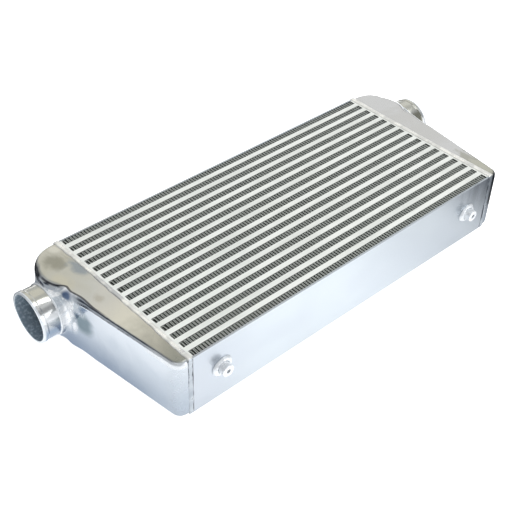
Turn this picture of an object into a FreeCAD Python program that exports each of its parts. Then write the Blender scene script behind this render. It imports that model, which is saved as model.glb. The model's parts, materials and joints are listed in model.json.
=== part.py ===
import FreeCAD, Part
import math
import os
from FreeCAD import Vector

# Bar-and-plate charge air cooler with two cast end tanks, lying flat on its underside.
# X runs along the core from inlet to outlet, Y across the stacked rows, Z through the core.
# The origin is on the surface that the cooler lies on, below the middle of the core.
# All lengths are in millimetres and all angles in degrees.

# Core stack
core_length = 600.0
core_depth = 100.0
air_row_count = 16
air_fin_height = 10.5
charge_channel_height = 7.4
sheet_thickness = 0.5
side_plate_thickness = 3.0
face_bar_width = 6.0
end_bar_width = 6.0

# Corrugated fins
fin_foil = 0.2
air_fin_pitch = 12.0
air_fin_recess = 1.0
charge_fin_pitch = 8.0

# Cast end tanks
tank_wall = 4.0
tank_depth_at_neck = 60.5
tank_depth_at_narrow_end = 23.0
tank_round_radius = 52.0
tank_corner_radius = 15.0
tank_edge_radius = 5.5
tank_flare_radius = 520.0
tank_flare_step = 5.2
cavity_edge_radius = 1.5
neck_length = 1.0
neck_wall = 3.0
neck_bore_step = 1.0
neck_root_radius = 7.0
neck_beside_round = 9.0
neck_rise = 2.0

# Beaded hose stubs
stub_radius = 38.1
stub_wall = 3.0
stub_length = 28.5
stub_bead_width = 7.0
stub_bead_height = 1.0

# Weld beads
seam_weld_width = 11.0
seam_weld_height = 1.5
seam_weld_shoulder = 1.1
seam_weld_shift = 1.5
weld_toe = 0.05
weld_bulge = 0.62
stub_weld_leg = 4.5
bung_weld_leg = 8.0

# Threaded mounting bungs
bung_spacing = 500.0
bung_rise = 5.0
bung_radius = 9.0
bung_height = 14.0
bung_chamfer = 0.8
bung_spigot_radius = 6.0
bung_thread_radius = 3.4
bung_floor = 1.0

# Lengths below this count as nothing, and an edge is looked at in this many places
tiny = 0.01
edge_spots = 5

# Sizes that follow from the values above
channel_count = air_row_count - 1
row_pitch = air_fin_height + charge_channel_height + 2 * sheet_thickness
stack_height = air_row_count * air_fin_height + channel_count * (row_pitch - air_fin_height)
core_width = stack_height + 2 * side_plate_thickness
half_length = core_length / 2
half_width = core_width / 2
core_bottom = seam_weld_height
core_top = core_bottom + core_depth
core_middle = core_bottom + core_depth / 2
air_passage_end = half_length - end_bar_width
neck_axis_y = half_width - tank_round_radius - neck_beside_round
neck_axis_z = core_middle + neck_rise
neck_joint_x = half_length + tank_depth_at_neck + neck_length
stub_bore_radius = stub_radius - stub_wall
neck_bore_radius = stub_bore_radius + neck_bore_step
neck_radius = neck_bore_radius + neck_wall
bung_z = core_middle + bung_rise

os.makedirs("parts", exist_ok=True)


def save(name, shape):
    shape.exportStep("parts/" + name + ".step")


def block(low, high):
    size = high - low
    return Part.makeBox(size.x, size.y, size.z, low)


def group(solids):
    return Part.makeCompound(solids)


def mirror_end(shape):
    return shape.mirror(Vector(0, 0, 0), Vector(1, 0, 0))


def row_middle(index):
    return (index - (air_row_count - 1) / 2) * row_pitch


def channel_middle(index):
    return (index - (channel_count - 1) / 2) * row_pitch


def arc_between(centre, start, end):
    radius = (start - centre).Length
    outwards = ((start - centre) + (end - centre)).normalize()
    return Part.Arc(start, centre + outwards * radius, end).toShape()


def line(start, end):
    return Part.LineSegment(start, end).toShape()


# A fin is one strip of foil folded to and fro between two walls.
# The folds run along the first axis, and the strip stands between low and high of the second.
def folded_strip(start, end, low, high, pitch):
    folds = max(2, round((end - start) / pitch))
    step = (end - start) / folds
    lean = math.hypot(step, high - low) / step
    thick = fin_foil * lean
    upper = []
    lower = []
    for index in range(folds + 1):
        along = start + index * step
        at_crest = index % 2 == 1
        upper.append((along, high if at_crest else low + thick))
        lower.append((along, high - thick if at_crest else low))
    return upper + lower[::-1]


def air_fin(index):
    low = row_middle(index) - air_fin_height / 2
    high = low + air_fin_height
    outline = folded_strip(-air_passage_end, air_passage_end, low, high, air_fin_pitch)
    floor = core_bottom + air_fin_recess
    points = [Vector(x, y, floor) for x, y in outline]
    face = Part.Face(Part.makePolygon(points + points[:1]))
    return face.extrude(Vector(0, 0, core_depth - 2 * air_fin_recess))


def charge_fin(index):
    low = channel_middle(index) - charge_channel_height / 2
    high = low + charge_channel_height
    bottom = core_bottom + face_bar_width
    top = core_top - face_bar_width
    outline = folded_strip(bottom, top, low, high, charge_fin_pitch)
    points = [Vector(-half_length, y, z) for z, y in outline]
    face = Part.Face(Part.makePolygon(points + points[:1]))
    return face.extrude(Vector(core_length, 0, 0))


def parting_sheets():
    sheets = []
    for index in range(channel_count):
        middle = channel_middle(index)
        lower = middle - charge_channel_height / 2 - sheet_thickness
        upper = middle + charge_channel_height / 2
        for low in (lower, upper):
            corner = Vector(-half_length, low, core_bottom)
            sheets.append(block(corner, Vector(half_length, low + sheet_thickness, core_top)))
    return group(sheets)


def face_bars(bottom):
    bars = []
    for index in range(channel_count):
        low = channel_middle(index) - charge_channel_height / 2
        near = Vector(-half_length, low, bottom)
        far = Vector(half_length, low + charge_channel_height, bottom + face_bar_width)
        bars.append(block(near, far))
    return group(bars)


def end_bars():
    bars = []
    for index in range(air_row_count):
        low = row_middle(index) - air_fin_height / 2
        near = Vector(air_passage_end, low, core_bottom)
        far = Vector(half_length, low + air_fin_height, core_top)
        bars.append(block(near, far))
    return group(bars)


def bung_places():
    return [-bung_spacing / 2, bung_spacing / 2]


# The front is the side at negative Y, and side is -1 there and +1 at the rear.
def side_plate(side):
    inner = side * (half_width - side_plate_thickness)
    outer = side * half_width
    near = Vector(-half_length, min(inner, outer), core_bottom)
    plate = block(near, Vector(half_length, max(inner, outer), core_top))
    for x in bung_places():
        hole = Part.makeCylinder(
            bung_spigot_radius, side_plate_thickness, Vector(x, inner, bung_z), Vector(0, side, 0)
        )
        plate = plate.cut(hole)
    return plate


# Threaded bung: a spigot set through the side plate, a round boss outside it and a blind hole.
def bung(x, side):
    outwards = Vector(0, side, 0)
    inner = Vector(x, side * (half_width - side_plate_thickness), bung_z)
    outer = Vector(x, side * half_width, bung_z)
    spigot = Part.makeCylinder(bung_spigot_radius, side_plate_thickness, inner, outwards)
    boss = Part.makeCylinder(bung_radius, bung_height, outer, outwards)
    body = spigot.fuse(boss).removeSplitter()
    rim = [edge for edge in body.Edges if abs(abs(edge.CenterOfMass.y) - half_width - bung_height) < tiny]
    body = body.makeChamfer(bung_chamfer, rim)
    depth = side_plate_thickness + bung_height - bung_floor
    hole = Part.makeCylinder(bung_thread_radius, depth, inner + outwards * bung_floor, outwards)
    return body.cut(hole)


# A ring is turned about an axis from a closed profile of (along, radius) points.
# Every second entry may be the middle point of an arc, marked by a third value.
def turned(profile, base, axis, radial):
    edges = []
    places = [base + axis * item[0] + radial * item[1] for item in profile]
    count = len(profile)
    index = 0
    while index < count:
        following = (index + 1) % count
        if len(profile[following]) == 3:
            end = (index + 2) % count
            edges.append(Part.Arc(places[index], places[following], places[end]).toShape())
            index += 2
        else:
            edges.append(line(places[index], places[following]))
            index += 1
    face = Part.Face(Part.Wire(edges))
    return face.revolve(base, axis, 360)


def bung_weld(x, side):
    bulge = bung_weld_leg * weld_bulge
    profile = [
        (0, bung_radius),
        (0, bung_radius + bung_weld_leg),
        (bulge, bung_radius + bulge, "arc"),
        (bung_weld_leg, bung_radius),
    ]
    return turned(profile, Vector(x, side * half_width, bung_z), Vector(0, side, 0), Vector(1, 0, 0))


def four_bungs(maker):
    return group([maker(x, side) for side in (-1, 1) for x in bung_places()])


# Plan outline of an end tank, moved inwards by inset: flat mouth on the core, small corner at the
# narrow end, slanted wall, gentle flare and a large round end behind the neck.
def tank_outline(inset):
    round_radius = tank_round_radius - inset
    corner_radius = tank_corner_radius - inset
    flare_radius = tank_flare_radius + inset
    deep_x = half_length + tank_depth_at_neck
    shallow_x = half_length + tank_depth_at_narrow_end
    round_centre = Vector(deep_x - tank_round_radius, half_width - tank_round_radius, 0)
    corner_centre = Vector(shallow_x - tank_corner_radius, tank_corner_radius - half_width, 0)
    span = round_centre - corner_centre
    widening = tank_round_radius - tank_flare_step - tank_corner_radius
    slant = math.atan2(span.x, span.y) + math.asin(widening / span.Length)
    outwards = Vector(math.cos(slant), -math.sin(slant), 0)
    along = Vector(math.sin(slant), math.cos(slant), 0)
    wall_start = corner_centre + outwards * corner_radius

    to_flare = wall_start + outwards * flare_radius - round_centre
    reach = to_flare.dot(along)
    gap = to_flare.dot(to_flare) - (flare_radius + round_radius) ** 2
    run = -reach - math.sqrt(reach * reach - gap)
    wall_end = wall_start + along * run
    flare_centre = wall_end + outwards * flare_radius
    to_round = (flare_centre - round_centre).normalize()
    flare_end = round_centre + to_round * round_radius

    corner_start = corner_centre + Vector(0, -corner_radius, 0)
    round_top = round_centre + Vector(0, round_radius, 0)
    mouth_front = Vector(half_length, inset - half_width, 0)
    mouth_rear = Vector(half_length, half_width - inset, 0)
    return Part.Wire([
        line(mouth_front, corner_start),
        arc_between(corner_centre, corner_start, wall_start),
        line(wall_start, wall_end),
        arc_between(flare_centre, wall_end, flare_end),
        arc_between(round_centre, flare_end, round_top),
        line(round_top, mouth_rear),
        line(mouth_rear, mouth_front),
    ])


def tank_form(inset, edge_radius):
    low = core_bottom + inset
    high = core_top - inset
    form = Part.Face(tank_outline(inset)).extrude(Vector(0, 0, high - low))
    form.translate(Vector(0, 0, low))
    rims = []
    for edge in form.Edges:
        box = edge.BoundBox
        is_level = box.ZLength < tiny
        at_mouth = box.XMax < half_length + tiny
        if is_level and not at_mouth:
            rims.append(edge)
    return form.makeFillet(edge_radius, rims)


def neck_point(x):
    return Vector(x, neck_axis_y, neck_axis_z)


def lies_on_neck(edge):
    for spot in edge.discretize(Number=edge_spots):
        from_axis = math.hypot(spot.y - neck_axis_y, spot.z - neck_axis_z)
        if abs(from_axis - neck_radius) > tiny:
            return False
    return True


# The neck is made longer than it is, so that its root fillet has room, and is then faced off.
def tank_outside():
    spare = 2 * neck_root_radius
    start_x = half_length + tank_depth_at_narrow_end
    neck_end = neck_joint_x + spare
    neck = Part.makeCylinder(neck_radius, neck_end - start_x, neck_point(start_x), Vector(1, 0, 0))
    body = tank_form(0, tank_edge_radius).fuse(neck).removeSplitter()
    root = []
    for edge in body.Edges:
        is_root = edge.BoundBox.XMax < neck_end - tiny
        straight = edge.Curve.TypeId == "Part::GeomLine"
        if is_root and not straight and lies_on_neck(edge):
            root.append(edge)
    body = body.makeFillet(neck_root_radius, root)
    far = Vector(neck_joint_x + 2 * spare, half_width + spare, core_top + spare)
    return body.cut(block(Vector(neck_joint_x, -half_width, core_bottom - spare), far))


def end_tank(outside):
    cavity = tank_form(tank_wall, cavity_edge_radius)
    start_x = half_length + tank_depth_at_narrow_end / 2
    bore = Part.makeCylinder(neck_bore_radius, neck_joint_x - start_x, neck_point(start_x), Vector(1, 0, 0))
    return outside.cut(cavity.fuse(bore))


def hose_stub():
    bead_start = stub_length - stub_bead_width
    bead_crest = stub_length - stub_bead_width / 2
    profile = [
        (0, stub_bore_radius),
        (stub_length, stub_bore_radius),
        (stub_length, stub_radius),
        (bead_crest, stub_radius + stub_bead_height, "arc"),
        (bead_start, stub_radius),
        (0, stub_radius),
    ]
    return turned(profile, neck_point(neck_joint_x), Vector(1, 0, 0), Vector(0, 1, 0))


# The stub weld lies in the corner between the neck's end face and the stub.
def stub_weld():
    face_leg = neck_radius - stub_radius
    crown = stub_radius + face_leg * (1 - weld_toe)
    profile = [
        (0, stub_radius),
        (0, neck_radius),
        (stub_weld_leg * weld_bulge, crown, "arc"),
        (stub_weld_leg, stub_radius),
    ]
    return turned(profile, neck_point(neck_joint_x), Vector(1, 0, 0), Vector(0, 1, 0))


def weld_section(x, height, corner):
    half_y = half_width + height
    low = core_bottom - height
    high = core_top + height
    points = []
    for y_sign, z_sign in ((-1, -1), (1, -1), (1, 1), (-1, 1)):
        z = low if z_sign < 0 else high
        on_level = Vector(x, y_sign * (half_y - corner), z)
        on_side = Vector(x, y_sign * half_y, z - z_sign * corner)
        points += [on_side, on_level] if y_sign == z_sign else [on_level, on_side]
    return Part.makePolygon(points + points[:1])


# The seam weld wraps the joint between core and tank, and fills the corners where the tank is round.
def seam_weld(outside):
    half = seam_weld_width / 2
    middle = half_length + seam_weld_shift
    corner_gap = tank_edge_radius * (2 - math.sqrt(2))
    sections = [
        weld_section(middle - half, weld_toe, weld_toe),
        weld_section(middle - half / 2, seam_weld_shoulder, seam_weld_shoulder),
        weld_section(middle, seam_weld_height, seam_weld_height),
        weld_section(middle + half / 2, seam_weld_shoulder, corner_gap / 2),
        weld_section(middle + half, weld_toe, corner_gap),
    ]
    band = Part.makeLoft(sections, True, True)
    core = block(Vector(0, -half_width, core_bottom), Vector(half_length, half_width, core_top))
    return band.cut(core).cut(outside)


for row in range(air_row_count):
    save("air_fin_%02d" % (row + 1), air_fin(row))
for channel in range(channel_count):
    save("charge_fin_%02d" % (channel + 1), charge_fin(channel))

save("parting_sheets", parting_sheets())
save("face_bars_top", face_bars(core_top - face_bar_width))
save("face_bars_bottom", face_bars(core_bottom))
save("side_plate_front", side_plate(-1))
save("side_plate_rear", side_plate(1))
save("mounting_bungs", four_bungs(bung))
save("bung_welds", four_bungs(bung_weld))

tank_solid = tank_outside()
outlet_end = {
    "end_bars": end_bars(),
    "tank": end_tank(tank_solid),
    "stub": hose_stub(),
    "stub_weld": stub_weld(),
    "seam_weld": seam_weld(tank_solid),
}
for piece, shape in outlet_end.items():
    save("outlet_" + piece, shape)
    save("inlet_" + piece, mirror_end(shape))
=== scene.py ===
import json
import math
import random
from types import SimpleNamespace
import bmesh
import bpy
from mathutils import Matrix, Vector


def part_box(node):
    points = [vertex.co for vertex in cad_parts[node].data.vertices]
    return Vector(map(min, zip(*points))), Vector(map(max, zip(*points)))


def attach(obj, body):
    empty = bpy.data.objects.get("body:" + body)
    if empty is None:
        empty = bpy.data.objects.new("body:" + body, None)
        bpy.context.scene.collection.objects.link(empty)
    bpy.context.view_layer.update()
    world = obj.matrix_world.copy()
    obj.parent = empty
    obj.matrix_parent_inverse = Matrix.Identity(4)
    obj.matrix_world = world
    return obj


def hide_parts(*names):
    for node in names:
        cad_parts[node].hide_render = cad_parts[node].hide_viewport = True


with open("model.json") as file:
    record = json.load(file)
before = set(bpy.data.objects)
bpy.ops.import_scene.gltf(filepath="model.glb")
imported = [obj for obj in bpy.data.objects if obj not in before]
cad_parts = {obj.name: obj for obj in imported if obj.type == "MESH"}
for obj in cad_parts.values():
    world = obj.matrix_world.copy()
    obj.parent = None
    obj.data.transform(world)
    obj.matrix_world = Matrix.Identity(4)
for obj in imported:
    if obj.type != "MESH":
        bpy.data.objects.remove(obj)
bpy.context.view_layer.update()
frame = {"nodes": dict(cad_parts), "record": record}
scene = bpy.context.scene
mm = 0.001

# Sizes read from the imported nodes
plate_low, plate_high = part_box("side_plate_rear")
core_half_y = plate_high[1]
core_bottom = plate_low[2]
core_top = plate_high[2]
core_middle_z = (core_top + core_bottom) / 2
core_half_z = (core_top - core_bottom) / 2
stub_low, stub_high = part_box("outlet_stub")
neck_y = (stub_low[1] + stub_high[1]) / 2
neck_z = (stub_low[2] + stub_high[2]) / 2
mouth_x = stub_high[0]
seam_low, seam_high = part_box("outlet_seam_weld")
seam_x = (seam_low[0] + seam_high[0]) / 2
seam_half = (seam_high[0] - seam_low[0]) / 2

# Stubs and necks
stub_radius = 38.1 * mm
bore_radius = 35.1 * mm
neck_radius = 41.5 * mm
stub_bead_width = 7 * mm
stub_bead_slope = 1.2 * mm
lip_bevel = 0.75 * mm

# A tank's outline seen from above, with X measured from the middle of the core towards either end.
# A sloping wall flares towards the neck and runs into a round end, and the narrow end has a small corner.
wall_x = 322.86 * mm
wall_y = -137.08 * mm
wall_slope = 0.14
wall_out = (0.99, -0.139)
flare_start = -10 * mm
flare_per_metre = 0.9615
round_place = Vector((308.5, 98)) * mm
round_radius = 52 * mm
corner_place = Vector((308, -135)) * mm
corner_radius = 15 * mm
flare_to_round = (48 * mm, 80 * mm)

# Offset strip fins: each strip is foil folded in square waves, and the next strip is half a fold along.
air_fin_count = 16
fin_leg = 2.55 * mm
fin_foil = 0.85 * mm
strip_depth = 3.0 * mm
strips_at_face = 2
end_reach = 3.0 * mm
least_gaps = (1.5 * mm, 0.1 * mm)
widest_gaps = (6 * mm, 0.4 * mm)

# Rims of the castings
polish_step = 1.3 * mm
packed_rim = 5.5 * mm
packed_rim_skin = 4.6 * mm
narrow_rim = 6.5 * mm
wide_rim = 12 * mm
rim_widens = (0 * mm, 36 * mm)
rim_narrows = (122 * mm, 134 * mm)
rim_turns_crisp = (132 * mm, 142 * mm)
tank_clear_x = 304 * mm
neck_clear = 50 * mm
narrow_end_y = -118 * mm
smoothings = 5
smoothings_at_narrow_end = 8


def make_camera():
    """Camera at the photo's viewing angle, solved from the rows and edges of the core."""
    picture_width = 510
    focal_length_in_pixels = 968.5539127
    right = Vector((0.74355079, -0.66828669, 0.02291546))
    down = Vector((-0.41800892, -0.49128825, -0.76413637))
    ahead = Vector((0.52192026, 0.55859534, -0.64464757))
    data = bpy.data.cameras.new("camera")
    camera = bpy.data.objects.new("camera", data)
    scene.collection.objects.link(camera)
    place = Matrix((right, -down, -ahead)).transposed().to_4x4()
    place.translation = Vector((-0.81095604, -0.80685568, 0.97192494))
    camera.matrix_world = place
    data.sensor_width = 36
    data.lens = focal_length_in_pixels * data.sensor_width / picture_width
    data.clip_start = 0.05
    scene.camera = camera


# Shader maths
class Socket:
    """An output of a shader node that can be used in sums."""

    def __init__(self, tree, socket=None):
        self.tree = tree
        self.socket = socket

    def node(self, kind, inputs=None, out=0, stops=(), **settings):
        """Adds a node. Settings and ramp stops come first, then values and links."""
        made = self.tree.nodes.new(kind)
        for name, value in settings.items():
            setattr(made, name, value)
        for index, (spot, colour) in enumerate(stops):
            spots = made.color_ramp.elements
            ends = {0: spots[0], len(stops) - 1: spots[-1]}
            found = ends[index] if index in ends else spots.new(spot)
            found.position = spot
            found.color = (*colour, 1.0)
        for key, value in (inputs or {}).items():
            if isinstance(value, Socket):
                self.tree.links.new(value.socket, made.inputs[key])
            else:
                made.inputs[key].default_value = value
        return Socket(self.tree, made.outputs[out])

    def maths(self, operation, other=0.0, swapped=False):
        pair = (other, self) if swapped else (self, other)
        return self.node("ShaderNodeMath", dict(enumerate(pair)), operation=operation)

    def __add__(self, other):
        return self.maths("ADD", other)

    def __radd__(self, other):
        return self.maths("ADD", other, swapped=True)

    def __sub__(self, other):
        return self.maths("SUBTRACT", other)

    def __rsub__(self, other):
        return self.maths("SUBTRACT", other, swapped=True)

    def __mul__(self, other):
        return self.maths("MULTIPLY", other)

    def __rmul__(self, other):
        return self.maths("MULTIPLY", other, swapped=True)

    def __abs__(self):
        return self.maths("ABSOLUTE")


def begin(name, metallic):
    """Makes a material. Gives it, its shader and its object coordinates, in metres in the part's frame."""
    material = bpy.data.materials.new(name)
    material.use_nodes = True
    shader = material.node_tree.nodes["Principled BSDF"]
    shader.inputs["Metallic"].default_value = metallic
    return material, shader, Socket(material.node_tree).node("ShaderNodeTexCoord", out="Object")


def feed(shader, name, value):
    value.tree.links.new(value.socket, shader.inputs[name])


def split(vector):
    """X, Y and Z of a vector."""
    first = vector.node("ShaderNodeSeparateXYZ", {0: vector})
    return [Socket(vector.tree, output) for output in first.socket.node.outputs]


def upward(start):
    """How far the surface faces up: 1 on a top, 0 on a wall and -1 below."""
    return split(start.node("ShaderNodeNewGeometry", out="Normal"))[2]


def noise(place, scale, detail=2.0, stretch=(1, 1, 1), distortion=0.0):
    at = place.node("ShaderNodeVectorMath", {0: place, 1: stretch}, operation="MULTIPLY")
    values = {"Vector": at, "Scale": scale, "Detail": detail, "Distortion": distortion}
    return at.node("ShaderNodeTexNoise", values)


def ramp(value, low, high, start=0.0, end=1.0):
    """Smooth step from start at low to end at high. Low may be above high."""
    values = {"Value": value, "From Min": low, "From Max": high, "To Min": start, "To Max": end}
    return value.node("ShaderNodeMapRange", values, interpolation_type="SMOOTHSTEP")


def blend(share, first, second):
    """Goes from the first colour to the second. Inputs 6 and 7 and output 2 are the Mix node's colours."""
    colours = [c if isinstance(c, Socket) else (*c, 1.0) for c in (first, second)]
    return share.node("ShaderNodeMix", {0: share, 6: colours[0], 7: colours[1]}, out=2, data_type="RGBA")


def length_of(first, second):
    return (first * first + second * second).maths("SQRT")


def dent(shader, height):
    """Bump from a height in metres."""
    feed(shader, "Normal", height.node("ShaderNodeBump", {"Height": height, "Distance": 1.0}))


# Cast aluminium
def wall_reach(y, past_flare):
    """How far out a tank's sloping wall stands at a place along Y, as a number or as a socket."""
    return wall_x + (y - wall_y) * wall_slope + past_flare * past_flare * flare_per_metre


def cast_places(place):
    """Coordinates and noises that the parts of the casting's finish share."""
    x, y, z = split(place)
    cloud = noise(place, 13, 3, distortion=0.8)
    blot = noise(place, 34, 3, stretch=(1, 0.6, 1), distortion=1.2)
    veil = noise(place, 60, 3, stretch=(1, 0.5, 1), distortion=1.6)
    along = y + (cloud - 0.5) * 0.10 + (blot - 0.5) * 0.05
    return SimpleNamespace(
        place=place, x=x, y=y, z=z, deep=abs(x), inlet=ramp(x, 0.1, -0.1),
        cloud=cloud, blot=blot, veil=veil, along=along)


def inlet_top(at):
    """Beige to grey from the narrow end to the round one, with soft ragged clouds."""
    share = (at.along + 0.16) * 3.125
    colour = share.node("ShaderNodeValToRGB", {0: share}, stops=[
        (0.00, (0.30, 0.31, 0.28)), (0.16, (0.43, 0.43, 0.39)), (0.34, (0.70, 0.69, 0.63)),
        (0.52, (0.62, 0.62, 0.60)), (0.62, (0.58, 0.59, 0.58)), (0.80, (0.52, 0.52, 0.47)),
        (0.92, (0.55, 0.55, 0.51)), (1.00, (0.62, 0.62, 0.57))])
    clouds = (
        ((0.326, 0.116), (0.014, 0.020), 0.6, (0.22, 0.22, 0.18)),
        ((0.309, 0.082), (0.009, 0.020), 1.0, (0.33, 0.37, 0.41)),
        ((0.340, 0.072), (0.012, 0.018), 1.0, (0.58, 0.57, 0.50)),
        ((0.322, 0.014), (0.009, 0.012), 0.5, (0.40, 0.38, 0.33)),
        ((0.312, 0.138), (0.008, 0.010), 1.0, (0.68, 0.68, 0.64)))
    for (x, y), (half_x, half_y), strength, tint in clouds:
        far = length_of((at.deep - x) * (1 / half_x), (at.y - y) * (1 / half_y))
        ragged = far + (at.blot - 0.5) * 2.0 + (at.veil - 0.5) * 0.5
        colour = blend(ramp(ragged, 1.3, 0.4) * strength, colour, tint)
    return colour


def outlet_top(at):
    """Even grey that turns olive towards the narrow end, with one darker streak there."""
    colour = blend(ramp(at.cloud, 0.4, 0.6), (0.62, 0.625, 0.62), (0.585, 0.585, 0.57))
    colour = blend(ramp(at.along, -0.080, -0.105), colour, (0.50, 0.50, 0.43))
    streak = ramp(abs(at.along + 0.092), 0.010, 0.002)
    return blend(streak * 0.6, colour, (0.36, 0.36, 0.31))


def cast_wall(at):
    """Blue-grey walls with painted shade, darker towards the floor and in a blot in front of the neck,
    painted dark reflections where the inlet's round end turns behind its neck and high on the outlet's narrow
    corner, and darker towards the narrow end.
    """
    # Painted shade: darker and bluer towards the floor, and darker still right by the floor.
    colour = blend(ramp(at.z, 0.02, 0.10), (0.36, 0.41, 0.47), (0.52, 0.56, 0.605))
    colour = blend(ramp(at.cloud, 0.4, 0.65) * 0.5, colour, (0.38, 0.43, 0.49))
    painted_floor_shade = ramp(at.z + (at.cloud - 0.5) * 0.03, 0.055, 0.006) * ramp(at.y, -0.145, -0.05, 0.25, 1.0)
    colour = blend(painted_floor_shade, colour, (0.19, 0.24, 0.32))
    # Painted shade: a dark blot on the wall in front of the neck.
    from_painted_shade = length_of(at.y - 0.024, (at.z - 0.064) * 0.9) + (at.blot - 0.5) * 0.012
    colour = blend(ramp(from_painted_shade, 0.025, 0.009) * 0.95, colour, (0.12, 0.17, 0.20))
    colour = blend(ramp(at.y, -0.118, -0.148) * 0.25, colour, (0.36, 0.39, 0.42))
    # Painted dark reflection on the inlet's wall where its round end turns behind the neck.
    painted_dark_behind_neck = ramp(at.y, 0.100, 0.110) * ramp(at.y, 0.142, 0.134)
    colour = blend(painted_dark_behind_neck * ramp(at.deep, 0.318, 0.330) * at.inlet, colour, (0.05, 0.055, 0.065))
    # Painted dark reflection high on the outlet tank's narrow corner.
    painted_dark_outlet_corner = ramp(at.z, 0.036, 0.050) * ramp(at.y, -0.110, -0.135) * ramp(at.x, 0.303, 0.307)
    return blend(painted_dark_outlet_corner, colour, (0.035, 0.042, 0.052))


def rim_line(at):
    """A painted dark reflection in an S-shaped line along the inlet tank's rim, and the scallop inside it,
    where the top takes the walls' colours with their painted shade.
    """
    past_flare = (at.y - flare_start).maths("MAXIMUM")
    depth = wall_reach(at.y, past_flare) - at.deep
    round_depth = round_radius - length_of(at.deep - round_place.x, at.y - round_place.y)
    depth = depth + (round_depth - depth) * ramp(at.y, *flare_to_round)
    window = ramp(at.y, 0.0, 0.036) * ramp(at.y, 0.078, 0.060)
    line = depth - 0.0048 - window * 0.0052
    beside_neck = ramp(at.y, -0.030, 0.010) * ramp(at.y, 0.110, 0.096) * ramp(at.z, 0.084, 0.090) * at.inlet
    scallop = ramp(line, -0.0002, -0.0016) * window * beside_neck
    # The first mask is the painted dark reflection along the line.
    return ramp(abs(line), 0.0020, 0.0006) * beside_neck, scallop


def neck_painted_sheen(at, scallop):
    """Painted highlights and reflections on the hand-polished root of the inlet's neck: where they lie and
    their colours, with a painted dark reflection near the top.
    """
    from_neck = length_of(at.y - neck_y, at.z - neck_z)
    collar = ramp(from_neck, 0.058, 0.047) * ramp(at.z, 0.026, 0.052) * ramp(at.y, 0.104, 0.090)
    ear = ramp(from_neck + (at.cloud - 0.5) * 0.02, 0.080, 0.066) * ramp(at.z, 0.070, 0.080)
    # Painted highlight on the collar round the neck's root, and a painted reflection of the stub's mouth in
    # the ear above it.
    painted_neck_sheen = collar.maths("MAXIMUM", ear) * ramp(at.deep, 0.332, 0.340) * at.inlet
    painted_neck_sheen = painted_neck_sheen * (1 - ramp(at.z, 0.0935, 0.0955) * (1 - scallop))
    folds = noise(at.place, 42, 2, stretch=(0.6, 1.3, 0.8), distortion=1.5)
    colour = blend(ramp(folds, 0.42, 0.56), (0.86, 0.88, 0.90), (0.50, 0.55, 0.60))
    painted_dark_spot = ramp(length_of((at.y - 0.052) * 0.6, at.z - 0.096), 0.007, 0.003)
    return painted_neck_sheen, blend(painted_dark_spot, colour, (0.10, 0.15, 0.26))


def cast_aluminium():
    """Hand-polished casting: cloudy on top, blue-grey on its walls with painted shade and reflections, and
    with painted highlights and reflections round the inlet's neck.
    """
    material, shader, place = begin("cast_aluminium", 1.0)
    at = cast_places(place)
    painted_dark_rim_line, scallop = rim_line(at)
    flat = ramp(abs(upward(place)), 0.80, 0.97) * (1 - scallop)
    # polished holds the colours of the painted highlights and reflections round the neck.
    painted_neck_sheen, polished = neck_painted_sheen(at, scallop)
    # Painted highlight: a soft pale band along the inlet tank's rim towards its narrow end, also made less
    # metallic.
    painted_rim_highlight = ramp(at.z, 0.090, 0.094) * (1 - flat) * ramp(at.y, -0.085, -0.110) * at.inlet
    wall = blend(painted_neck_sheen, cast_wall(at), polished)
    wall = blend(painted_rim_highlight, wall, (0.60, 0.63, 0.66))
    top = blend(at.inlet, outlet_top(at), inlet_top(at))
    # Painted dark reflection along the rim line.
    feed(shader, "Base Color", blend(painted_dark_rim_line * 0.9, blend(flat, wall, top), (0.07, 0.075, 0.09)))
    feed(shader, "Metallic", 1 - painted_neck_sheen * (1 - flat) * 0.7 - painted_rim_highlight * 0.35)
    narrow = ramp(at.y, -0.12, -0.146)
    feed(shader, "Roughness", ramp(at.veil, 0.35, 0.7, 0.08, 0.16) + narrow * 0.18 + painted_neck_sheen * 0.15)
    dent(shader, at.cloud * 0.0016 + at.blot * 0.0003)
    return material


# Other metals
def sheet_aluminium():
    """Satin rolled sheet of the side plates, painted a little darker towards the inlet end as shade, and
    darker with streaks towards the outlet as painted dark reflection.
    """
    material, shader, place = begin("sheet_aluminium", 1.0)
    x, y, z = split(place)
    cloud = noise(place, 7, 2, stretch=(1, 1, 2))
    rolled = noise(place, 700, 2, stretch=(0.02, 1, 1))
    streak = noise(place, 16, 3, stretch=(2.2, 1, 0.5), distortion=0.6)
    # Painted shade: a little darker towards the inlet end.
    sheet = blend(ramp(x, -0.15, -0.30), (0.515, 0.56, 0.60), (0.45, 0.485, 0.53))
    sheet = blend(ramp(cloud, 0.4, 0.65) * 0.35, sheet, (0.45, 0.49, 0.545))
    # Painted dark reflection towards the outlet end, streaked and stronger near the top.
    sheet = blend(ramp(x, 0.20, 0.29) * 0.2, sheet, (0.35, 0.38, 0.41))
    painted_dark_streaks = ramp(x, 0.18, 0.27) * ramp(z, 0.030, 0.085) * ramp(streak, 0.46, 0.60)
    feed(shader, "Base Color", blend(painted_dark_streaks * 0.38, sheet, (0.22, 0.25, 0.27)))
    feed(shader, "Roughness", ramp(rolled, 0.3, 0.7, 0.262, 0.270))
    dent(shader, cloud * 0.001)
    return material


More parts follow.
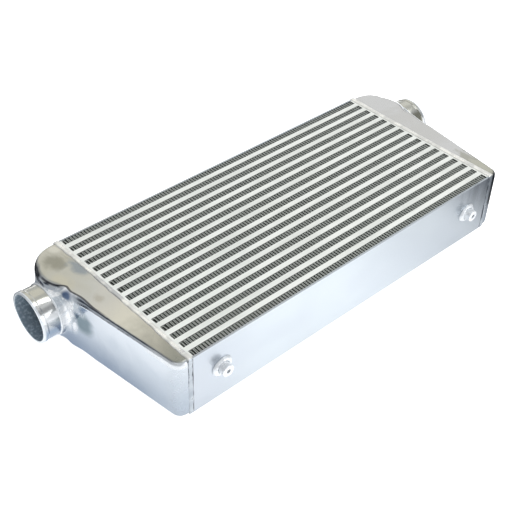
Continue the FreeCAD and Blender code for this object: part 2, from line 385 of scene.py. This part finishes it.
def bar_aluminium():
    """Matte bars: their faces show bright, and their sides are painted near black as shade inside the rows.
    """
    material, shader, place = begin("bar_aluminium", 0.3)
    cloud = noise(place, 40, 3, stretch=(0.3, 1, 1))
    grain = noise(place, 500, 2, stretch=(0.1, 1, 1))
    face = blend(ramp(cloud, 0.35, 0.65), (0.88, 0.90, 0.865), (0.79, 0.81, 0.775))
    # Painted shade: faces that do not look up or down are near black.
    flat = ramp(abs(upward(place)), 0.3, 0.6)
    feed(shader, "Base Color", blend(flat, (0.16, 0.17, 0.16), face))
    feed(shader, "Roughness", ramp(cloud, 0.3, 0.7, 0.55, 0.7))
    dent(shader, grain * 0.00006)
    return material


def fin_foil_finish(name, light, dark):
    """Brazed fin foil with bright cut edges, and its sides in the two colours given."""
    material, shader, place = begin(name, 0.3)
    cloud = noise(place, 35, 3)
    dots = noise(place, 700, 2)
    side = blend(ramp(cloud, 0.4, 0.62), light, dark)
    edge = ramp(abs(upward(place)), 0.5, 0.8)
    feed(shader, "Base Color", blend(edge, side, (0.50, 0.53, 0.50)))
    feed(shader, "Roughness", ramp(dots, 0.3, 0.7, 0.4, 0.6))
    dent(shader, dots * 0.00005)
    return material


def tube_aluminium():
    """Polished tube painted in bands of light and shade, dull and blue inside its bore, with a paler lip."""
    material, shader, place = begin("tube_aluminium", 1.0)
    x, y, z = split(place)
    up = upward(place)
    cloud = noise(place, 18, 2, distortion=0.5)
    speck = noise(place, 260, 3)
    painted_glint = ramp(abs(up - 0.43), 0.16, 0.07)
    behind_bead = ramp(x, mouth_x - 24 * mm, mouth_x - 21 * mm)
    behind_bead = behind_bead * ramp(x, mouth_x - 6.2 * mm, mouth_x - 7.4 * mm)
    mouth = ramp(abs(x), mouth_x - 3.5 * mm, mouth_x - 2 * mm)
    outside = blend(ramp(cloud, 0.4, 0.6), (0.70, 0.71, 0.70), (0.62, 0.63, 0.63))
    # Bands by the way the surface faces, painted as light and shade: a dark blue underside, a dull band, a
    # bright band of painted highlight, a warmer, darker top, and painted shade behind the outlet stub's bead.
    outside = blend(ramp(up, 0.30, -0.15), outside, (0.26, 0.33, 0.43))
    outside = blend(ramp(abs(up - 0.67), 0.13, 0.05), outside, (0.42, 0.43, 0.43))
    outside = blend(painted_glint, outside, (0.95, 0.96, 0.97))
    outside = blend(ramp(up, 0.80, 0.95), outside, (0.56, 0.56, 0.50))
    outside = blend(behind_bead * ramp(up, 0.95, 0.75), outside, (0.22, 0.22, 0.18))
    outside = blend(mouth, outside, (0.70, 0.74, 0.78))
    bore = blend(ramp(speck, 0.45, 0.7), (0.24, 0.31, 0.38), (0.46, 0.55, 0.63))
    inside = ramp(length_of(y - neck_y, z - neck_z), bore_radius + 0.5 * mm, bore_radius)
    lip = mouth * (1 - inside)
    feed(shader, "Base Color", blend(inside, outside, bore))
    feed(shader, "Metallic", 0.78 - inside * 0.58 - lip * 0.33 - painted_glint * (1 - inside) * (1 - lip) * 0.45)
    feed(shader, "Roughness", inside * 0.3 + lip * 0.1 + ramp(cloud, 0.3, 0.7, 0.15, 0.23))
    dent(shader, cloud * 0.0003 + speck * 0.00003)
    return material


def weld_aluminium():
    """Weld metal: creamy on top, and on the plates ground to blue-grey with dark toes, with painted shade
    high up at the outlet end.
    """
    material, shader, place = begin("weld_aluminium", 0.55)
    x, y, z = split(place)
    cloud = noise(place, 60, 3)
    greyer = ramp(noise(place, 24, 2), 0.48, 0.64) * ramp(x, 0.1, -0.1, 0.15, 0.8)
    from_seam = abs(abs(x) - seam_x) + (noise(place, 70, 3) - 0.5) * 0.006
    at_seam = ramp(from_seam, seam_half * 1.6, seam_half * 1.2)
    bead = blend(ramp(cloud, 0.4, 0.65), (0.95, 0.945, 0.90), (0.72, 0.72, 0.69))
    bead = blend(greyer, bead, (0.50, 0.51, 0.52))
    bead = blend(at_seam, (0.78, 0.81, 0.84), bead)
    inner_toe = ramp(from_seam, seam_half * 0.52, seam_half * 0.66)
    outer_toe = ramp(from_seam, seam_half * 1.15, seam_half * 0.98)
    broken = ramp(noise(place, 45, 2), 0.26, 0.44)
    ground = blend(ramp(cloud, 0.4, 0.65), (0.42, 0.46, 0.50), (0.33, 0.37, 0.42))
    # Painted shade on the ground weld high up at the outlet end.
    ground = blend(ramp(x, 0.2, 0.3) * ramp(z, 0.03, 0.07) * 0.7, ground, (0.14, 0.16, 0.18))
    ground = blend(inner_toe * outer_toe * broken, ground, (0.03, 0.035, 0.05))
    ground = blend(at_seam, (0.74, 0.77, 0.80), ground)
    on_face = ramp(abs(y), core_half_y, core_half_y - 1.2 * mm)
    feed(shader, "Base Color", blend(on_face, ground, bead))
    feed(shader, "Roughness", ramp(cloud, 0.3, 0.7, 0.24, 0.42))
    dent(shader, noise(place, 300, 3) * 0.00012)
    return material


def bung_aluminium():
    """Bright turned bungs."""
    material, shader, place = begin("bung_aluminium", 0.4)
    cloud = noise(place, 120, 2)
    feed(shader, "Base Color", blend(ramp(cloud, 0.4, 0.6), (0.86, 0.88, 0.90), (0.76, 0.79, 0.82)))
    feed(shader, "Roughness", ramp(cloud, 0.3, 0.7, 0.25, 0.4))
    dent(shader, cloud * 0.0001)
    return material


# Studio surfaces
def floor_white():
    """White table that glows a little, so that it has no shadows."""
    material, shader, place = begin("floor_white", 0.0)
    feed(shader, "Base Color", blend(noise(place, 2), (0.90, 0.90, 0.90), (0.88, 0.88, 0.88)))
    feed(shader, "Roughness", ramp(noise(place, 3), 0.3, 0.7, 0.6, 0.7))
    shader.inputs["Emission Color"].default_value = (1, 1, 1, 1)
    shader.inputs["Emission Strength"].default_value = 0.8
    return material


def card_dark():
    """Card that fades from white at the middle of the cooler to dark beyond its outlet."""
    material, shader, place = begin("card_dark", 0.0)
    x, y, z = split(place)
    fade = ramp(x, 0.0, 0.28) * 0.3 + ramp(x, 0.26, 0.42) * 0.56 + ramp(x, 0.39, 0.44) * 0.14
    feed(shader, "Base Color", blend(fade, (0.9, 0.9, 0.9), (0.03, 0.035, 0.05)))
    # It glows in the same fade, as a source of light and shade that shows only in the metal's reflections.
    feed(shader, "Emission Color", blend(fade, (0.8, 0.8, 0.8), (0.02, 0.025, 0.035)))
    shader.inputs["Emission Strength"].default_value = 1.0
    return material


def card_navy():
    """Dark card behind the inlet."""
    material, shader, place = begin("card_navy", 0.0)
    feed(shader, "Base Color", blend(noise(place, 2), (0.03, 0.035, 0.05), (0.04, 0.05, 0.07)))
    return material


MATERIALS = {
    "cast_aluminium": cast_aluminium(),
    "sheet_aluminium": sheet_aluminium(),
    "bar_aluminium": bar_aluminium(),
    # The air fins' sides are painted near black, as shade deep in the rows.
    "air_fin_foil": fin_foil_finish("air_fin_foil", (0.105, 0.117, 0.105), (0.065, 0.075, 0.065)),
    "charge_fin_foil": fin_foil_finish("charge_fin_foil", (0.62, 0.64, 0.64), (0.50, 0.52, 0.53)),
    "tube_aluminium": tube_aluminium(),
    "weld_aluminium": weld_aluminium(),
    "bung_aluminium": bung_aluminium(),
}


def dress(obj, name):
    obj.data.materials.clear()
    obj.data.materials.append(MATERIALS[name])


def dress_frame():
    for row in frame["record"]["subparts"]:
        dress(frame["nodes"][row["node"]], row["material_slot"])


# New pieces
def mesh_from(name, work):
    """Empties a bmesh into a new mesh."""
    data = bpy.data.meshes.new(name)
    work.to_mesh(data)
    work.free()
    return data


def piece_from(name, work, slot, *nodes, smooth=True):
    """Makes a bmesh a piece that stands for the CAD nodes."""
    bmesh.ops.recalc_face_normals(work, faces=work.faces)
    for face in work.faces:
        face.smooth = smooth
    made = bpy.data.objects.new(name, mesh_from(name, work))
    scene.collection.objects.link(made)
    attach(made, "root")
    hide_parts(*nodes)
    dress(made, slot)
    return made


def eased(value, low, high):
    """Smooth step from 0 at low to 1 at high."""
    share = min(max((value - low) / (high - low), 0), 1)
    return share * share * (3 - 2 * share)


def from_neck(v):
    """How far a vertex lies from the axis of the necks and stubs."""
    return math.hypot(v.co.y - neck_y, v.co.z - neck_z)


def stretched(run, length, left_gap, right_gap):
    """Moves a place along a fin so that its last folds are pulled apart at both ends."""
    at_left = left_gap * (1 - math.exp(-run / end_reach))
    at_right = right_gap * (1 - math.exp(-(length - run) / end_reach))
    return run + at_left - at_right


def fine_fin(node, chance):
    """One air fin with its folds at their true width."""
    low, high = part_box(node)
    left_gap, right_gap = [chance.uniform(*limits) for limits in zip(least_gaps, widest_gaps)]
    inner = high[0] - low[0] - left_gap - right_gap
    legs = round(inner / fin_leg)
    step = inner / legs
    columns = 2 * legs - 1
    near_y = low[1] + fin_foil / 2
    far_y = high[1] - fin_foil / 2
    borders = [low[2] + k * strip_depth for k in range(strips_at_face + 1)]
    borders += [high[2] - k * strip_depth for k in range(strips_at_face, -1, -1)]
    work = bmesh.new()
    for k, (bottom, top) in enumerate(zip(borders, borders[1:])):
        start = (k % 2) * step / 2
        grid = bmesh.ops.create_grid(work, x_segments=columns, y_segments=1, size=0.5)
        for v in grid["verts"]:
            i = round((v.co.x + 0.5) * columns)
            x = low[0] + stretched(i // 2 * step + start, inner, left_gap, right_gap)
            y = near_y if i % 4 in (0, 3) else far_y
            v.co = (x, y, top if v.co.y > 0 else bottom)
    bmesh.ops.recalc_face_normals(work, faces=work.faces)
    bmesh.ops.solidify(work, geom=work.faces[:], thickness=fin_foil)
    piece_from("fine_" + node, work, "air_fin_foil", node, smooth=False)


def closed_ring(work, around, across):
    """A torus about Z with a tube of radius 1, to be laid along a weld. Gives each point's two angles."""
    ring_radius = 3
    circle = bmesh.ops.create_circle(work, segments=across, radius=1)
    turn = Matrix.Translation((ring_radius, 0, 0)) @ Matrix.Rotation(math.pi / 2, 4, "X")
    bmesh.ops.transform(work, matrix=turn, verts=circle["verts"])
    bmesh.ops.spin(
        work, geom=work.verts[:] + work.edges[:], cent=(0, 0, 0), axis=(0, 0, 1),
        angle=2 * math.pi, steps=around, use_merge=True, use_duplicate=False)
    bmesh.ops.remove_doubles(work, verts=work.verts[:], dist=0.0001)
    found = []
    for v in work.verts:
        wide = math.hypot(v.co.x, v.co.y) - ring_radius
        found.append((v, math.atan2(v.co.y, v.co.x) % (2 * math.pi), math.atan2(v.co.z, wide)))
    return found


def wander(chance, waves):
    """A smooth closed curve of random height about 0, as a function of an angle."""
    parts = [(n, chance.uniform(0.4, 1) / len(waves), chance.uniform(0, 6.28)) for n in waves]
    return lambda angle: sum(size * math.sin(n * angle + start) for n, size, start in parts)


def loop_place(share, half_y, half_z, radius):
    """Point and outward direction at a share of the way round a rectangle with round corners."""
    flat_y = 2 * (half_y - radius)
    flat_z = 2 * (half_z - radius)
    bend = math.pi / 2 * radius
    length = 2 * (flat_y + flat_z) + 4 * bend
    run = share % 1.0 * length
    for index, flat in enumerate((flat_y, flat_z, flat_y, flat_z)):
        turn = index * math.pi / 2
        if run <= flat + bend or index == 3:
            along = min(run, flat) - flat / 2
            lean = max(run - flat, 0) / radius
            off = (flat_z if index % 2 == 0 else flat_y) / 2
            out_y = math.sin(lean)
            out_z = math.cos(lean)
            y = along + out_y * radius
            z = off + out_z * radius
            c, s = math.cos(turn), math.sin(turn)
            return (y * c + z * s, z * c - y * s), (out_y * c + out_z * s, out_z * c - out_y * s), length
        run -= flat + bend


def seam_bead(end, side, chance):
    """Weld between core and tank: thin along the top, molten at the narrow end, ground flat on the plates."""
    loop_corner = 2 * mm
    ripple_length = 2.8 * mm
    root_depth = 1.2 * mm
    rise_limit = 1.45 * mm
    tank_side_reach = 0.30 if end == "inlet" else 0.75
    tank_edge = wander(chance, (7, 13, 23, 31, 47))
    core_edge = wander(chance, (5, 11, 19, 29, 53))
    swell = wander(chance, (9, 17, 27, 41))
    work = bmesh.new()
    # Heights are in millimetres, and a reach is a share of half the seam's width.
    for v, angle, section in closed_ring(work, around=1400, across=12):
        (y, z), (out_y, out_z), length = loop_place(
            angle / (2 * math.pi), core_half_y, core_half_z, loop_corner)
        across = math.cos(section)
        up = math.sin(section)
        run = angle / (2 * math.pi) * length
        ripple = math.sin(2 * math.pi * (run / ripple_length - 0.35 * across * across))
        plate = eased(abs(out_y), 0.3, 0.8)
        narrow = eased(-y, 0.07, 0.13)
        round_end = eased(y, 0.10, 0.14)
        if across * side > 0:
            reach = tank_side_reach + 0.25 * narrow + 0.30 * round_end
            reach = reach * (1 - plate) + plate * 0.62 + (0.22 - 0.14 * plate) * tank_edge(angle)
        else:
            reach = 0.86 + 0.14 * core_edge(angle)
        height = (1.3 + 0.3 * swell(angle)) * (1 - plate) + 0.7 * plate
        height += 1.8 * plate * eased(y, 0, 0.1)
        height += (0.12 - 0.06 * plate) * ripple
        lift = (height * mm if up > 0 else root_depth) * up
        v.co = (
            side * seam_x + across * seam_half * min(reach, 1.0),
            y + out_y * lift,
            core_middle_z + z + out_z * min(lift, rise_limit))
    piece_from(end + "_seam_bead", work, "weld_aluminium", end + "_seam_weld")


def stub_bead(end, side, chance):
    """Small bead between neck and stub."""
    low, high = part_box(end + "_stub_weld")
    face_x = low[0] if side > 0 else high[0]
    root_depth = 0.6 * mm
    ripples = 96
    swell = wander(chance, (5, 9, 14, 21))
    work = bmesh.new()
    for v, angle, section in closed_ring(work, around=420, across=10):
        across = math.cos(section)
        up = math.sin(section)
        ripple = math.sin(angle * ripples - 0.8 * across)
        leg = (1.7 + 0.35 * swell(angle) + 0.14 * ripple) * mm
        out = stub_radius + max(across * leg, -root_depth)
        along = max(up * leg * 1.15, -root_depth)
        v.co = (face_x + side * along, neck_y + out * math.cos(angle), neck_z + out * math.sin(angle))
    piece_from(end + "_stub_bead", work, "weld_aluminium", end + "_stub_weld")


def bung_bead(x, side, centre_z, bung_radius, chance):
    """Weld round one bung, puddled into two lobes: one towards +X and up, one towards -X and down."""
    work = bmesh.new()
    swell = wander(chance, (2, 3, 5, 7))
    for v, angle, section in closed_ring(work, around=72, across=14):
        lobe = math.cos(angle - 0.43) ** 2
        across = math.cos(section)
        up = math.sin(section)
        foot = (4.5 + 4.0 * lobe + 1.0 * swell(angle)) * mm
        out = bung_radius + foot * (0.5 + 0.5 * across) - 0.8 * mm
        rise = (3.6 + 1.8 * lobe + 0.6 * swell(angle + 1)) * mm
        ripple = 1 + 0.06 * math.sin(angle * 17 + across * 2)
        lift = rise * ripple * up * (1 - 0.35 * across) if up > 0 else 0.8 * mm * up
        v.co = (x + out * math.cos(angle), side * (core_half_y + lift), centre_z + out * math.sin(angle))
    return mesh_from("one_bung_bead", work)


def bung_beads(chance):
    """The welds round all four bungs."""
    low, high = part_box("mounting_bungs")
    bung_radius = (high[2] - low[2]) / 2
    centre_x = high[0] - bung_radius
    centre_z = (low[2] + high[2]) / 2
    work = bmesh.new()
    for side in (-1, 1):
        for x in (-centre_x, centre_x):
            one = bung_bead(x, side, centre_z, bung_radius, chance)
            work.from_mesh(one)
            bpy.data.meshes.remove(one)
    piece_from("bung_beads", work, "weld_aluminium", "bung_welds")


def rim_depth(x, y):
    """How far a place on a tank lies inside of its outline seen from above, and the way out."""
    spoke = Vector((x, y)) - round_place
    at_round = (round_radius - spoke.length, spoke.x / round_radius, spoke.y / round_radius)
    if y > flare_to_round[1]:
        return at_round
    if y < corner_place.y and x > corner_place.x:
        spoke = Vector((x, y)) - corner_place
        return corner_radius - spoke.length, spoke.x / corner_radius, spoke.y / corner_radius
    to_wall = wall_reach(y, max(y - flare_start, 0)) - x
    to_front = y + core_half_y
    if to_front < to_wall and x < corner_place.x:
        return to_front, 0, -1
    share = eased(y, *flare_to_round)
    return [wall + (end - wall) * share for wall, end in zip((to_wall, *wall_out), at_round)]


def polish_rim(v, side):
    """Rolls a rim over, widest beside the neck and on the round end, and squares it on the far side."""
    x, y, z = abs(v.co.x), v.co.y, v.co.z
    depth, out_x, out_y = rim_depth(x, y)
    below = core_half_z - abs(z - core_middle_z)
    crisp = eased(y, *rim_turns_crisp)
    if crisp > 0:
        across = max(packed_rim - depth, 0)
        up = max(packed_rim - below, 0)
        reach = math.hypot(across, up)
        if reach <= packed_rim_skin:
            return
        move = (reach / (across ** 4 + up ** 4) ** 0.25 - 1) * crisp
    else:
        widened = eased(y, *rim_widens) * (1 - eased(y, *rim_narrows))
        radius = narrow_rim + (wide_rim - narrow_rim) * widened
        across = radius - depth
        up = radius - below
        reach = math.hypot(across, up)
        if across <= 0 or up <= 0 or reach <= radius:
            return
        move = (radius - reach) / reach * eased(from_neck(v), neck_radius, neck_clear)
    v.co.x += side * out_x * across * move
    v.co.y += out_y * across * move
    v.co.z += math.copysign(1, z - core_middle_z) * up * move


def remeshed(node):
    """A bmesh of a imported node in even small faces."""
    work = bmesh.new()
    work.from_mesh(frame["nodes"][node].data)
    bmesh.ops.remove_doubles(work, verts=work.verts[:], dist=0.02 * mm)
    rough = mesh_from("rough", work)
    body = bpy.data.objects.new("rough", rough)
    scene.collection.objects.link(body)
    finer = body.modifiers.new("finer", "REMESH")
    finer.mode = "VOXEL"
    finer.voxel_size = polish_step
    fine = bpy.data.meshes.new_from_object(body.evaluated_get(bpy.context.evaluated_depsgraph_get()))
    work = bmesh.new()
    work.from_mesh(fine)
    bpy.data.objects.remove(body)
    bpy.data.meshes.remove(rough)
    bpy.data.meshes.remove(fine)
    return work


def casting(end, side):
    """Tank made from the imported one, with its rims and the root of its neck rolled over by polishing."""
    work = remeshed(end + "_tank")
    polished = [v for v in work.verts if abs(v.co.x) > tank_clear_x and from_neck(v) > neck_radius]
    narrow_end = [v for v in polished if v.co.y < narrow_end_y]
    for verts, times in ((polished, smoothings), (narrow_end, smoothings_at_narrow_end)):
        for turn in range(times):
            bmesh.ops.smooth_vert(
                work, verts=verts, factor=0.5, use_axis_x=True, use_axis_y=True, use_axis_z=True)
    for v in polished:
        polish_rim(v, side)
    piece_from(end + "_casting", work, "cast_aluminium", end + "_tank")


def stub_tube(end, side):
    """Stub turned from tube, with its bead at the mouth and a rounded lip."""
    low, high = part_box(end + "_stub")
    foot_x = low[0] if side > 0 else high[0]
    length = high[0] - low[0]
    bead_radius = (high[2] - low[2]) / 2
    bead_start = length - stub_bead_width
    section = (
        (0, bore_radius), (length, bore_radius), (length, bead_radius), (bead_start, bead_radius),
        (bead_start - stub_bead_slope, stub_radius), (0, stub_radius))
    work = bmesh.new()
    points = [work.verts.new((foot_x + side * along, neck_y, neck_z + out)) for along, out in section]
    for first, second in zip(points, points[1:] + points[:1]):
        work.edges.new((first, second))
    bmesh.ops.spin(
        work, geom=work.verts[:] + work.edges[:], cent=(0, neck_y, neck_z), axis=(1, 0, 0),
        angle=2 * math.pi, steps=144, use_merge=True, use_duplicate=False)
    bmesh.ops.remove_doubles(work, verts=work.verts[:], dist=0.01 * mm)

    def ring_clear_of_foot(edge):
        first, second = [(side * (v.co.x - foot_x), from_neck(v)) for v in edge.verts]
        return math.dist(first, second) < 0.01 * mm and first[0] > 1 * mm

    bmesh.ops.bevel(
        work, geom=[edge for edge in work.edges if ring_clear_of_foot(edge)], offset=lip_bevel,
        segments=3, affect="EDGES", profile=0.5, material=-1)
    tube = piece_from(end + "_tube", work, "tube_aluminium", end + "_stub")
    tube.modifiers.new("level", "WEIGHTED_NORMAL")


make_camera()
dress_frame()
chance = random.Random(4)
for number in range(1, air_fin_count + 1):
    fine_fin("air_fin_%02d" % number, chance)
for end, side in (("inlet", -1), ("outlet", 1)):
    casting(end, side)
    stub_tube(end, side)
    seam_bead(end, side, chance)
    stub_bead(end, side, chance)
bung_beads(chance)


# Studio
def flat_sheet(name, low, high, height, material):
    work = bmesh.new()
    grid = bmesh.ops.create_grid(work, x_segments=1, y_segments=1, size=0.5)
    middle = ((low[0] + high[0]) / 2, (low[1] + high[1]) / 2, height)
    bmesh.ops.scale(work, vec=(high[0] - low[0], high[1] - low[1], 1), verts=grid["verts"])
    bmesh.ops.translate(work, vec=middle, verts=grid["verts"])
    sheet = bpy.data.objects.new(name, mesh_from(name, work))
    scene.collection.objects.link(sheet)
    sheet.data.materials.append(material)
    return sheet


def reflected_only(sheet):
    """Keeps a card out of the picture, so that it shows only in the polished metal."""
    sheet.visible_camera = False
    sheet.visible_diffuse = False
    sheet.visible_shadow = False


def direction(azimuth, elevation):
    """Unit vector towards an azimuth, counted from +X towards +Y, and an elevation, in degrees."""
    turn = math.radians(azimuth)
    tilt = math.radians(elevation)
    return (math.cos(turn) * math.cos(tilt), math.sin(turn) * math.cos(tilt), math.sin(tilt))


def make_world():
    """A grey studio with a warm wall behind the inlet, a white one behind the outlet and dark gaps."""
    world = bpy.data.worlds.new("world")
    world.use_nodes = True
    # In a world this output is the direction in which a ray leaves.
    ray = Socket(world.node_tree).node("ShaderNodeTexCoord", out="Generated")
    unit = ray.node("ShaderNodeVectorMath", {0: ray}, operation="NORMALIZE")
    grey = (0.60, 0.61, 0.62)
    # Each patch has its colour, its middle as azimuth and elevation, and the angles where it starts to fade
    # and has gone.
    patches = (
        ((0.93, 0.91, 0.84), (62, 42), (14, 26)),
        ((0.97, 0.97, 0.97), (35, 30), (10, 18)),
        ((0.05, 0.06, 0.08), (134, 46), (8, 17)),
        ((0.06, 0.07, 0.09), (132, 3), (12, 26)),
        ((1.10, 1.10, 1.10), (216, 68), (12, 22)))
    sky = grey
    for colour, middle, (full, gone) in patches:
        near = unit.node(
            "ShaderNodeVectorMath", {0: unit, 1: direction(*middle)}, out="Value", operation="DOT_PRODUCT")
        share = ramp(near, math.cos(math.radians(gone)), math.cos(math.radians(full)))
        sky = blend(share, sky, colour)
    background = world.node_tree.nodes["Background"]
    world.node_tree.links.new(sky.socket, background.inputs["Color"])
    scene.world = world


def softbox(name, azimuth, elevation, distance, size, radiance, in_gloss=True):
    """Area light that faces the origin, with its strength given by how bright its face looks."""
    data = bpy.data.lights.new(name, "AREA")
    data.shape = "RECTANGLE"
    data.size, data.size_y = size
    data.energy = radiance * math.pi * size[0] * size[1]
    lamp = bpy.data.objects.new(name, data)
    scene.collection.objects.link(lamp)
    lamp.location = Vector(direction(azimuth, elevation)) * distance
    lamp.rotation_euler = (-Vector(lamp.location)).to_track_quat("-Z", "Y").to_euler()
    lamp.visible_glossy = in_gloss


card_height = 0.5 * mm
flat_sheet("floor", (-6, -6), (6, 6), 0, floor_white())
reflected_only(flat_sheet("card_right", (0.0, -1.5), (2, 0.14), card_height, card_dark()))
reflected_only(flat_sheet("card_rear", (-2, 0.165), (-0.2, 2), card_height, card_navy()))
make_world()
softbox("softbox_high", azimuth=-14, elevation=68, distance=2.2, size=(0.65, 1.2), radiance=3.0)
softbox("softbox_front", azimuth=-69, elevation=15, distance=2.4, size=(1.4, 1.6), radiance=2.2)
softbox(
    "softbox_overhead", azimuth=0, elevation=90, distance=3.5, size=(4, 4), radiance=0.55, in_gloss=False)

scene.view_settings.view_transform = "Standard"
